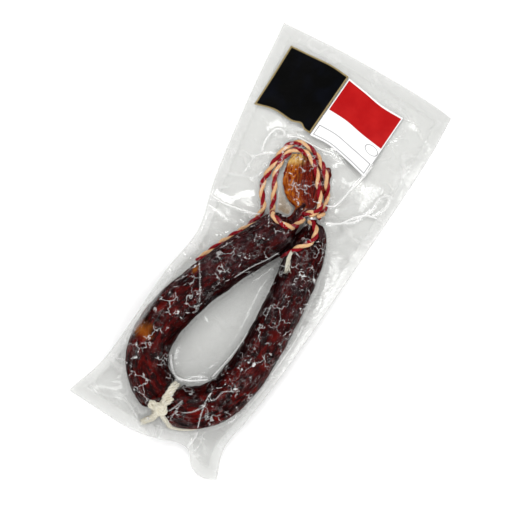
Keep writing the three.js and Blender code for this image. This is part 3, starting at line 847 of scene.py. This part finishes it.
STRING_PLY = 1.08
STRING_RADIUS = 2.05
STRING_PITCH = 12
LOOSE_SWELL = 1.35  # the long end has begun to come untwisted
STRING_STEP = 0.6
STRING_BITE = 0.2
WAIST_SIDES = 24
WAIST_TURNS = 2
TURN_SPACING = 1.75  # the two turns lie this far from the waist's middle
TURN_WOBBLE = 0.3
LONG_END = [
    (1.2, -143, 35.4), (-0.6, -149, 33.8), (-1.4, -154, 27.6), (-2.6, -158, 19.6), (-5, -161.6, 12),
    (-6.8, -165.4, 6.4),
]
SHORT_END = [(-0.6, -145.6, 36), (3.6, -149.4, 33.8), (9, -152.6, 28.4), (13.8, -155.2, 20.6)]
UNTWISTED_END = [(12.6, -155.6, 21.6), (18, -154.6, 21), (25, -151.6, 21), (31, -147.6, 21), (35, -143.4, 21)]
KNOT_ROUTES = [
    [
        (3.4, -134, 31.4), (2.2, -139, 33.4), (-0.6, -142.6, 35), (-4.6, -144.2, 35), (-9, -145, 32.2),
        (-8.4, -148, 31.6), (-4.4, -147.8, 33.8), (-0.6, -147, 36), (3, -145.6, 36.4),
    ],
    [
        (-0.8, -134, 31.4), (-1.2, -139, 33.4), (1.8, -142.6, 36), (4.2, -146, 36), (2.2, -149, 35.4),
        (-1.4, -149, 35.6), (-3, -145.8, 37), (-0.4, -143.6, 38), (2.2, -145.2, 38),
    ],
]

waist_centre = spine[waist_row]
waist_tangent = directions(spine)[0][waist_row]
turns = []
for i in range(WAIST_TURNS * WAIST_SIDES + 1):
    turn = 2 * math.pi * (i / WAIST_SIDES + 0.25)
    spoke = spine_across[waist_row] * math.cos(turn) + spine_above[waist_row] * math.sin(turn)
    ring = waist_centre + spoke * (WAIST_RADIUS + STRING_RADIUS - STRING_BITE)
    aside = TURN_SPACING * math.tanh((i - WAIST_SIDES) / 5) + TURN_WOBBLE * math.sin(i * 1.3)
    ring = ring + waist_tangent * aside
    turns.append((*ring[:2], max(ring[2], floor + STRING_RADIUS)))
parts = []
for number, strand in enumerate([turns, *KNOT_ROUTES, LONG_END, SHORT_END]):
    rows = smooth_route(strand, STRING_STEP)
    swell = LOOSE_SWELL if strand is LONG_END else 1
    ply_radius = STRING_PLY * swell
    ply_offset = (STRING_RADIUS - STRING_PLY) * swell
    for route in twisted(rows, 3, ply_offset, ply_radius, STRING_PITCH, number):
        parts.append(tube(route, sides=16, strands=4, strand_length=5))
        if strand in (LONG_END, SHORT_END):
            parts += frayed(route, ply_radius, 7, 3.4, 11 + number)
untwisted = smooth_route(UNTWISTED_END, STRING_STEP)
untwisted = np.column_stack([untwisted, np.linspace(1.3, 0.6, len(untwisted))])
parts.append(tube(untwisted, sides=14, strands=4, strand_length=5))
parts += frayed(untwisted, 0.7, 5, 3, 31)
string = mesh_piece("waist_string_plies", parts)
string.data.materials.append(white_cotton)
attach(string, "root")
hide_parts("waist_string")

# ------------------------------------------------------------------------------ pouch
# Two clear films, sealed to each other round the rim and drawn tight by the vacuum. They cling to everything
# inside and meet halfway up round it, and what is left over has gathered into hard creases and small curled
# wrinkles.

FILM_THICKNESS = 0.12
FRONT_GRID = (146, 288, 50)  # columns, rows where the pouch is filled, and rows under the stickers
BACK_GRID = (74, 150, 28)
FILLED_SHARE = 0.79  # of the pouch's length
EDGE_HEIGHT = 1.6
LOWEST_SEAM = 0.9
CLING_GAP = 0.3
LIMB_MIDDLE = 17.6  # the height of a limb's middle
SEAM_REACH = 14  # the seam keeps that height this far out
DROOP, INSIDE_DROOP = 21, 90  # how far it takes to fall outside the horseshoe, and inside it
NOTHING = 99  # stands for a height where nothing is above or below
SETTLING = 260  # steps
FRONT_PULL, BACK_PULL = 0.1, 0.03  # towards the seam, in each step
LEFT_EDGE = [
    (-72, -175.5), (-61, -140), (-57.5, -100), (-55.5, -50), (-50.5, -9), (-61.5, 36), (-74, 120),
    (-79.5, 173),
]
RIGHT_EDGE = [
    (69.5, -175), (61, -150), (66, -112), (71.5, -50), (75.5, 30), (79, 110), (79.5, 150), (78, 178),
]
BOTTOM_EDGE = [
    (-72, -175.5), (-12, -175.5), (8, -171), (26, -164.5), (36, -165), (46, -176), (58, -179.5),
    (69.5, -175),
]
TOP_EDGE = [(-79.5, 173), (-20, 178), (60, 179.5), (78, 178)]
CREASES = [  # height, half width, then the points that it runs through
    (1.3, 0.9, [(26.5, 62.5), (33.5, 65.5), (36, 71), (38.5, 85), (41.5, 97), (43.5, 112)]),
    (1.3, 0.9, [(34.5, 50.5), (44.5, 55.5), (53.5, 67.5), (60.5, 73.5), (71, 76.5)]),
    (1, 0.8, [(35, 49), (45, 56.5), (54, 63), (60, 75.5), (63, 84)]),
    (0.8, 0.8, [(62, 72), (67, 78), (70, 88), (68, 97), (63, 92), (61.5, 82), (62, 72)]),
    (1.1, 0.8, [(-61, 22), (-45, 21), (-31.5, 23.5), (-21.5, 25.5), (-12.5, 29.5)]),
    (0.7, 0.7, [(-59.5, 12.5), (-45, 11.5), (-31, 9.5)]),
    (1, 0.8, [(-39.5, 71), (-42, 84), (-39.5, 95), (-33.5, 97), (-29.5, 92)]),
    (0.8, 0.7, [(-43.5, 48.5), (-43, 60), (-43, 67), (-37.5, 72.5), (-27, 80)]),
    (0.7, 0.7, [(-37.5, 46.5), (-34, 52), (-31, 60), (-33, 68)]),
    (0.9, 0.8, [(-29.5, 93.5), (-21.5, 98.5), (-6.5, 99.5), (7, 101.5), (12, 103.5)]),
    (0.9, 0.7, [(-43.5, -129.5), (-52, -131.5), (-61, -133)]),
    (0.7, 0.6, [(-43.5, -132.5), (-36, -140), (-28, -146)]),
    (0.9, 0.8, [(63, -27.5), (64, -40), (63.5, -57), (61.5, -80)]),
    (0.7, 0.7, [(55.5, -104.5), (59, -110), (62, -114)]),
    (0.8, 0.7, [(48.5, -127.5), (54, -127.5), (55.5, -122), (54, -117)]),
    (0.8, 0.7, [(34, -145.5), (30, -133), (27.5, -120), (27.5, -112)]),
    (0.8, 0.6, [(-10, 36.5), (-6, 29), (-2, 21.5)]),
    (0.8, 0.6, [(-37.5, -26.5), (-27, -42), (-16.5, -59.5)]),
    (1, 0.8, [(35, -146), (36, -154), (35, -166)]),
    (0.7, 0.7, [(38, -144), (42, -154), (41, -168)]),
    (0.7, 0.7, [(33, -149), (30, -156), (29, -163)]),
    (1.4, 1, [(-16.5, -104.5), (-11.5, -112), (-3, -118.5), (7, -116.5), (14, -112), (21.4, -106.5)]),
    (1, 0.8, [(21.4, -106.5), (24.2, -92.5), (27, -73.5), (27.4, -56)]),
    (0.6, 0.9, [(12.8, -139.5), (16.5, -139), (24, -133), (27, -128), (28.5, -121)]),
    (0.6, 0.9, [(28.5, -121), (33, -116.5), (35.5, -108), (40.6, -103.8), (37, -101)]),
    (0.6, 0.9, [(2.8, -139.5), (5.6, -143.8), (8.5, -139.5), (11.4, -131), (10.6, -150.6)]),
    (0.4, 0.8, [(41.4, -65), (42, -75), (37.1, -81), (45.6, -83), (40, -88), (38.5, -95)]),
    (0.4, 0.8, [(-43, -102.4), (-38, -102.4), (-40, -106.5), (-41.5, -116.5), (-38.5, -118.8)]),
    (0.5, 0.8, [(-33, -133.8), (-24.4, -139.5), (-14.4, -145.2)]),
    (0.4, 0.8, [(-43, -78), (-38.5, -71.5), (-35, -70), (-37, -64)]),
    (0.7, 0.7, [(-6, -28), (2, -12), (11, 2), (16, 12)]),
    (0.7, 0.7, [(22, -104), (10, -112), (0, -119.5), (-9, -114)]),
    (0.6, 0.7, [(64, 6), (67, 14), (65, 24), (70, 33)]),
    (0.6, 0.7, [(58, -4), (63, -2), (66.5, -8), (65, -17)]),
]
CREASE_STEP = 0.5
LOOSE_CREASES = 110  # smaller ones, fanning out from the contents
PILLOWS = [  # soft bulges of the front film: x, y, half length across and along, height
    (62, 118, 13, 26, 1.8),
    (64, 153, 12, 9, 1.4),
    (-38, 84, 9, 16, 1.6),
    (48, 86, 10, 20, 1.5),
    (-48, 30, 9, 14, 1),
    (60, 40, 9, 22, 1.2),
    (-50, -60, 5, 26, 0.8),
    (-50, -154, 14, 9, 1),
]


def flat_route(points, step=1.0):
    """A smooth route through points of the plan, at height 0."""
    return smooth_route([(x, y, 0) for x, y in points], step)


def at_shares(edge, shares):
    """The edge's points at these shares of its length."""
    run = running_length(edge)
    return np.column_stack([np.interp(shares, run / run[-1], edge[:, i]) for i in range(2)])


def coons(edges, across, along):
    """Points inside four edges, left, right, bottom and top, for shares across and along them."""
    edges = [flat_route(edge) for edge in edges]
    left, right = (at_shares(edge, along)[:, None] for edge in edges[:2])
    bottom, top = (at_shares(edge, across)[None] for edge in edges[2:])
    s, t = across[None, :, None], along[:, None, None]
    low_corners = (1 - s) * bottom[:, :1] + s * bottom[:, -1:]
    high_corners = (1 - s) * top[:, :1] + s * top[:, -1:]
    corners = (1 - t) * low_corners + t * high_corners
    return (1 - s) * left + s * right + (1 - t) * bottom + t * top - corners


def grid_sheet(name, plan, heights, across, along):
    """A single-skinned sheet over a grid, facing up, with its shares as UVs."""
    rows, columns = heights.shape
    number = np.arange(rows * columns).reshape(rows, columns)
    quads = np.stack([number[:-1, :-1], number[:-1, 1:], number[1:, 1:], number[1:, :-1]], -1).reshape(-1, 4)
    s, t = np.meshgrid(across, along)
    uvs = np.stack([s, t], -1).reshape(-1, 2)[quads].reshape(-1, 2).tolist()
    points = np.concatenate([plan, heights[..., None]], -1).reshape(-1, 3)
    return mesh_piece(name, [(points, quads.tolist(), uvs)])


def neighbours(heights):
    """The four heights next to each one."""
    p = np.pad(heights, 1, mode="edge")
    return [p[:-2, 1:-1], p[2:, 1:-1], p[1:-1, :-2], p[1:-1, 2:]]


def relaxed(heights, keep, steps, pull=0.0, rest=None):
    """Heights that average out with their neighbours, pulled to their rest heights, within keep's limits."""
    for _ in range(steps):
        mean = sum(neighbours(heights)) / 4
        heights = keep(mean if rest is None else mean * (1 - pull) + rest * pull)
    return heights


contents_tree = solid_tree([sausage, clip, hanging, binding, string])
middles = np.vstack([spine, fan[:, :3], outer[:, :3], inner[:, :3], smooth_route(LONG_END)])
dice = random.Random(7)
crease_rows = []
for height, width, through in CREASES:
    rows = flat_route(through, CREASE_STEP)
    fade = ramp(np.minimum(np.arange(len(rows)), np.arange(len(rows))[::-1]), 0, 8)
    crease_rows.append(np.column_stack([rows, height * (0.35 + 0.65 * fade), np.full(len(rows), width)]))
for _ in range(LOOSE_CREASES):
    i = dice.randrange(20, len(spine) - 8)
    side = spine_across[i] * (1 if dice.random() < 0.85 else -1)
    heading = math.atan2(side[1], side[0]) + dice.gauss(0, 0.5)
    start = spine[i] + side * (spine_radii[i] + dice.uniform(-3, 4))
    bend = dice.gauss(0, 0.5)
    length = dice.uniform(5, 17)
    through = []
    for step in range(4):
        start = start + np.array([math.cos(heading), math.sin(heading), 0]) * length / 4
        heading += bend / 3 + dice.gauss(0, 0.12)
        through.append(start[:2])
    rows = flat_route(through, CREASE_STEP)
    fade = np.sin(np.linspace(0.15, math.pi, len(rows)))
    height, width = dice.uniform(0.25, 0.8), dice.uniform(0.5, 0.8)
    crease_rows.append(np.column_stack([rows, height * fade, np.full(len(rows), width)]))
crease_rows = np.vstack(crease_rows)


def film_grid(columns, rows, coarse_rows):
    """Shares across and along the pouch, closer together where it is filled."""
    across = np.linspace(0, 1, columns)
    filled = np.linspace(0, FILLED_SHARE, rows, endpoint=False)
    along = np.concatenate([filled, np.linspace(FILLED_SHARE, 1, coarse_rows)])
    return across, along, coons([LEFT_EDGE, RIGHT_EDGE, BOTTOM_EDGE, TOP_EDGE], across, along)


def inside_horseshoe(plan):
    """Whether each point of the plan lies inside the bend of the sausage."""
    x, y = plan[..., 0], plan[..., 1]
    inside = np.zeros(x.shape, bool)
    ring = spine[::4]
    for a, b in zip(ring, np.roll(ring, -1, axis=0)):
        crosses = (a[1] > y) != (b[1] > y)
        with np.errstate(divide="ignore", invalid="ignore"):
            inside ^= crosses & (x < a[0] + (y - a[1]) / (b[1] - a[1]) * (b[0] - a[0]))
    return inside


def seam_heights(plan):
    """Where the two films meet: halfway up whatever is near, and falling away from it to the rim."""
    flat = plan.reshape(-1, 2)
    level = 8.0  # one height for all, so that only the plan counts
    points = np.column_stack([flat, np.full(len(flat), level)])
    row, _ = nearest(np.column_stack([middles[:, :2], np.full(len(middles), level)]), points)
    away = np.linalg.norm(middles[row, :2] - flat, axis=1).reshape(plan.shape[:2])
    height = middles[row, 2].reshape(plan.shape[:2])
    droop = np.where(inside_horseshoe(plan), INSIDE_DROOP, DROOP)
    rise = np.minimum(height, LIMB_MIDDLE) - EDGE_HEIGHT
    seam = EDGE_HEIGHT + rise * np.exp(-np.maximum(away - SEAM_REACH, 0) / droop)
    waves = noise_at(points, 34, 3) * 1.1 + noise_at(points, 13, 6) * 0.3
    seam += waves.reshape(seam.shape) * ramp(away, 20, 34)
    return np.maximum(relaxed(seam, lambda h: h, 12), LOWEST_SEAM)


def film(name, columns, rows, coarse_rows, side):
    """One of the films, above the contents where the side is 1 and under them where it is -1."""
    across, along, plan = film_grid(columns, rows, coarse_rows)
    seam = seam_heights(plan)
    reach = [surface_height(contents_tree, x, y, side > 0) or -NOTHING * side for x, y in plan.reshape(-1, 2)]
    limit = (np.array(reach).reshape(seam.shape) * side) + CLING_GAP
    limit = np.maximum.reduce([limit, *neighbours(limit)])
    over = ramp(relaxed((limit > -NOTHING / 2).astype(float), lambda h: h, 2), 0.05, 0.5)
    rest = seam * side + 0.2
    pull = FRONT_PULL if side > 0 else BACK_PULL
    heights = relaxed(np.maximum(limit, rest), lambda h: np.maximum(h, limit), SETTLING, pull, rest)
    flat = np.column_stack([plan.reshape(-1, 2), np.zeros(plan[..., 0].size)])
    tree_row, distance = nearest(crease_rows, flat)
    ridge = np.exp(-((distance / crease_rows[tree_row, 4]) ** 2))
    height = (ridge * crease_rows[tree_row, 3]).reshape(seam.shape)
    curls = noise_at(flat, 8, 21) + 0.3 * noise_at(flat, 3, 4)
    patches = ramp(noise_at(flat, 13, 9), 0.05, 0.3)
    curl = 0.8 * (np.exp(-((curls / 0.05) ** 2)) * patches).reshape(seam.shape) * over
    strength = np.maximum((ridge * np.minimum(crease_rows[tree_row, 3], 1)).reshape(seam.shape), curl)
    from_side, from_end = np.minimum(across, 1 - across)[None], np.minimum(along, 1 - along)[:, None]
    rim = np.minimum(from_side / 0.03, from_end / 0.015)
    free = ramp(rim, 0, 1)
    if side > 0:
        pillow = np.zeros(seam.shape)
        for x, y, wide, long, rise in PILLOWS:
            pillow += rise * np.exp(-(((plan[..., 0] - x) / wide) ** 2) - (((plan[..., 1] - y) / long) ** 2))
        heights = heights + free * (pillow * (1 - over) + height + 0.55 * curl)
    heights = np.maximum(heights * side, 0.1)
    sheet = grid_sheet(name, plan, heights, across, along)
    give_attribute(sheet, "crease", strength.ravel())
    give_attribute(sheet, "over", over.ravel())
    give_attribute(sheet, "rim", (1 - ramp(rim, 1.6, 2.2)).ravel())
    return sheet


JUICE_PLACE = (-0.0015, 0.047, 0.004)  # metres, where a little has run out beside the neck
HORSESHOE_MIDDLE = (0.005, -0.06, 0.01)  # metres, where the films are pulled smooth
# A grey tint that each skin of film lays on what is seen through it: partly real absorption, partly painted
# shade that greys the table under the pouch.
FILM_TINT_AND_PAINTED_SHADE = (0.964, 0.965, 0.961, 1)
MILKY_WHITE, JUICE_BROWN = (0.9, 0.9, 0.89), (0.4, 0.26, 0.12)


def clear_film():
    """Clear film: a sharp gloss, a faint haze, and white where it is creased or has come loose, partly real
    whitening and partly painted highlight; soft white patches on the loose film are painted highlights too.
    """
    paint = Paint("clear_film")
    place = paint.place()
    over = paint.attribute("over")
    crease = paint.attribute("crease")
    rim = paint.attribute("rim")
    curls = paint.wrinkles(paint.wavering(place, 0.005, 0.009), 0.013, 0.0005)
    curl = curls * paint.grain(place, 0.013, 2).rise(0.5, 0.57) * over
    hairs = paint.wrinkles(paint.wavering(place, 0.003, 0.005), 0.0045, 0.0004)
    hair = hairs * paint.grain(place, 0.01, 2).rise(0.48, 0.65) * over
    ripples = paint.grain(paint.scaled(place, 1, 0.35, 1), 0.02, 3, 0.8)
    small = paint.grain(place, 0.004, 3, 0.5)
    height = ripples * 0.5 + small * 0.12 + curl * 0.6 + hair * 0.3
    normal = paint.bump(height, 0.0016, 0.7)
    through = paint.node("BsdfTransparent", values={"Color": FILM_TINT_AND_PAINTED_SHADE})
    gloss = paint.principled(
        {"Base Color": (1, 1, 1), "Metallic": 1.0, "Roughness": ripples * 0.06 + 0.04, "Normal": normal}
    )
    shine = paint.node("LayerWeight", values={"Blend": 0.3, "Normal": normal}, output="Fresnel")
    loose = curl + hair * 0.5 + crease
    gloss_share = (shine * (0.75 - over * 0.72)).smaller(0.11 - over * 0.108) + loose * over * 0.02
    clear = paint.node("MixShader", values={0: gloss_share, 1: through, 2: gloss})
    juice = paint.distance(place, JUICE_PLACE) + (paint.grain(place, 0.01, 3) - 0.5) * 0.01
    juice = juice.rise(0.02, 0.012) * (1 - over)
    milk = paint.blend(juice, MILKY_WHITE, JUICE_BROWN)
    haze = paint.principled({"Base Color": milk, "Roughness": 0.4})
    x, y, z = HORSESHOE_MIDDLE
    shortened = 0.45  # along Y, so that the smooth place is as long as the horseshoe
    taut = paint.distance(paint.scaled(place, 1, shortened, 1), (x, y * shortened, z)).rise(0.032, 0.022)
    # Painted highlights: soft white patches on the loose film stand in for its bright reflections. They fade
    # where the film is taut in the middle of the horseshoe, over a faint even haze.
    flange_highlight_patches = paint.grain(paint.scaled(place, 1, 1.5, 1), 0.024, 3, 1.6).rise(0.5, 0.74)
    flange_highlights_and_haze = flange_highlight_patches * (0.13 - taut * 0.11) + 0.012
    # White at creases, curls and fine wrinkles is partly the film's real whitening and partly painted
    # highlight for their glints. The rim band and the juice are real.
    crease_white_and_highlight = crease.rise(0.3, 0.9)
    white = flange_highlights_and_haze * (1 - over) + crease_white_and_highlight * 0.5 + curl * 0.2 + hair * 0.04 + rim * 0.13 + juice * 0.17
    return paint.finish(paint.node("MixShader", values={0: white, 1: clear, 2: haze}))


film_look = clear_film()
front_film = film("front_film", *FRONT_GRID, 1)
back_film = film("back_film", *BACK_GRID, -1)
for sheet, node in [(front_film, "pouch_front_film"), (back_film, "pouch_back_film")]:
    outwards = 1 if sheet is front_film else -1
    apply_modifier(sheet, "SOLIDIFY", thickness=FILM_THICKNESS * MM, offset=outwards)
    sheet.data.materials.append(film_look)
    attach(sheet, "root")
    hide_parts(node)

# ------------------------------------------------------------------------------ stickers
# Two paper stickers on the front film above the sausage: a black one with a gold border, and a white one with
# a red panel, a ruled box for dates and a small oval. They overlap a little, and follow the film's waves.

STICKER_THICKNESS = 0.12
STICKER_STEPS = 64
BLACK_EDGES = [  # left, right, bottom and top
    [(-65.5, 103.2), (-65, 130), (-65, 160)],
    [(-14, 106.4), (-12.6, 135), (-11.2, 162.8)],
    [(-65.5, 103.2), (-49, 107.6), (-32, 107.2), (-24.5, 109.4), (-20, 106.8), (-14, 106.4)],
    [(-65, 160), (-45, 162), (-28, 163.6), (-11.2, 162.8)],
]
WHITE_EDGES = [
    [(-13.4, 105.4), (-11.8, 134), (-10.2, 162)],
    [(41.6, 99.2), (43, 128), (44.4, 157.4)],
    [(-13.4, 105.4), (4, 106.6), (20, 104), (41.6, 99.2)],
    [(-10.2, 162), (8, 159.6), (24, 157.2), (44.4, 157.4)],
]


def sticker(name, edges, above):
    """A sheet of paper laid on the front film inside four edges."""
    share = np.linspace(0, 1, STICKER_STEPS)
    plan = coons(edges, share, share)
    film_tree = solid_tree([front_film])
    film_top = np.array([surface_height(film_tree, x, y) for x, y in plan.reshape(-1, 2)])
    limit = film_top.reshape(plan.shape[:2]) + above
    heights = relaxed(limit + 0.3, lambda h: np.maximum(h, limit), 40, 0.04, limit)
    sheet = grid_sheet(name, plan, heights, share, share)
    apply_modifier(sheet, "SOLIDIFY", thickness=STICKER_THICKNESS * MM, offset=1)
    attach(sheet, "root")
    return sheet


def within(value, low, high, soft=0.004):
    """1 between the two values, with a soft edge."""
    return value.rise(low - soft, low + soft) * value.rise(high + soft, high - soft)


def rectangle(s, t, left, right, low, high):
    """1 in a rectangle of a sticker, where s and t are the shares across and along it."""
    return within(s, left, right) * within(t, low, high)


def paper_look(paint, colour, roughness, gloss):
    """Coated paper, a little uneven in its gloss and pulled into faint dents."""
    place = paint.place()
    dents = paint.grain(place, 0.012, 3)
    grain = paint.grain(place, 0.0006, 2)
    return paint.finish(
        paint.principled(
            {
                "Base Color": colour,
                "Roughness": dents * 0.15 + roughness,
                "Specular IOR Level": gloss,
                "Normal": paint.bump(dents + grain * 0.05, 0.0006, 0.5),
            }
        )
    )


black_sticker = sticker("black_sticker", BLACK_EDGES, 0.05)
ink = Paint("black_and_gold_print")
s, t = ink.axis(ink.uv(), "X"), ink.axis(ink.uv(), "Y")
inside_border = rectangle(s, t, 0.024, 0.976, 0.022, 0.978)
flecks = ink.grain(ink.place(), 0.0007, 2).rise(0.3, 0.7)
gold = ink.blend(flecks, (0.2, 0.15, 0.07), (0.36, 0.28, 0.14))
fading = ink.grain(ink.place(), 0.014, 3).rise(0.4, 0.8)
faded = ink.blend(fading, (0.001, 0.001, 0.001), (0.002, 0.0025, 0.005))
black_sticker.data.materials.append(paper_look(ink, ink.blend(inside_border, gold, faded), 0.25, 0.02))
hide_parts("front_label")

white_sticker = sticker("white_sticker", WHITE_EDGES, 0.2)
dates = Paint("red_and_white_print")
s, t = dates.axis(dates.uv(), "X"), dates.axis(dates.uv(), "Y")
ruled_box = rectangle(s, t, 0.03, 0.982, 0.03, 0.2) - rectangle(s, t, 0.041, 0.971, 0.041, 0.189)
oval_x, oval_y = (s - 0.877) * (1 / 0.115), (t - 0.36) * (1 / 0.066)
oval = oval_x * oval_x + oval_y * oval_y
outline = within(oval, 0.8, 1.0, 0.06)
fading = dates.grain(dates.place(), 0.01, 3).rise(0.3, 0.8)
red = dates.blend(fading, (0.36, 0.002, 0.003), (0.42, 0.006, 0.006))
panel = rectangle(s, t, 0.016, 0.984, 0.462, 0.975)
white = dates.blend(panel, (0.83, 0.83, 0.83), red)
white = dates.blend(ruled_box.larger(outline) * 0.85, white, (0.05, 0.05, 0.06))
white_sticker.data.materials.append(paper_look(dates, white, 0.3, 0.06))
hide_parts("data_label")
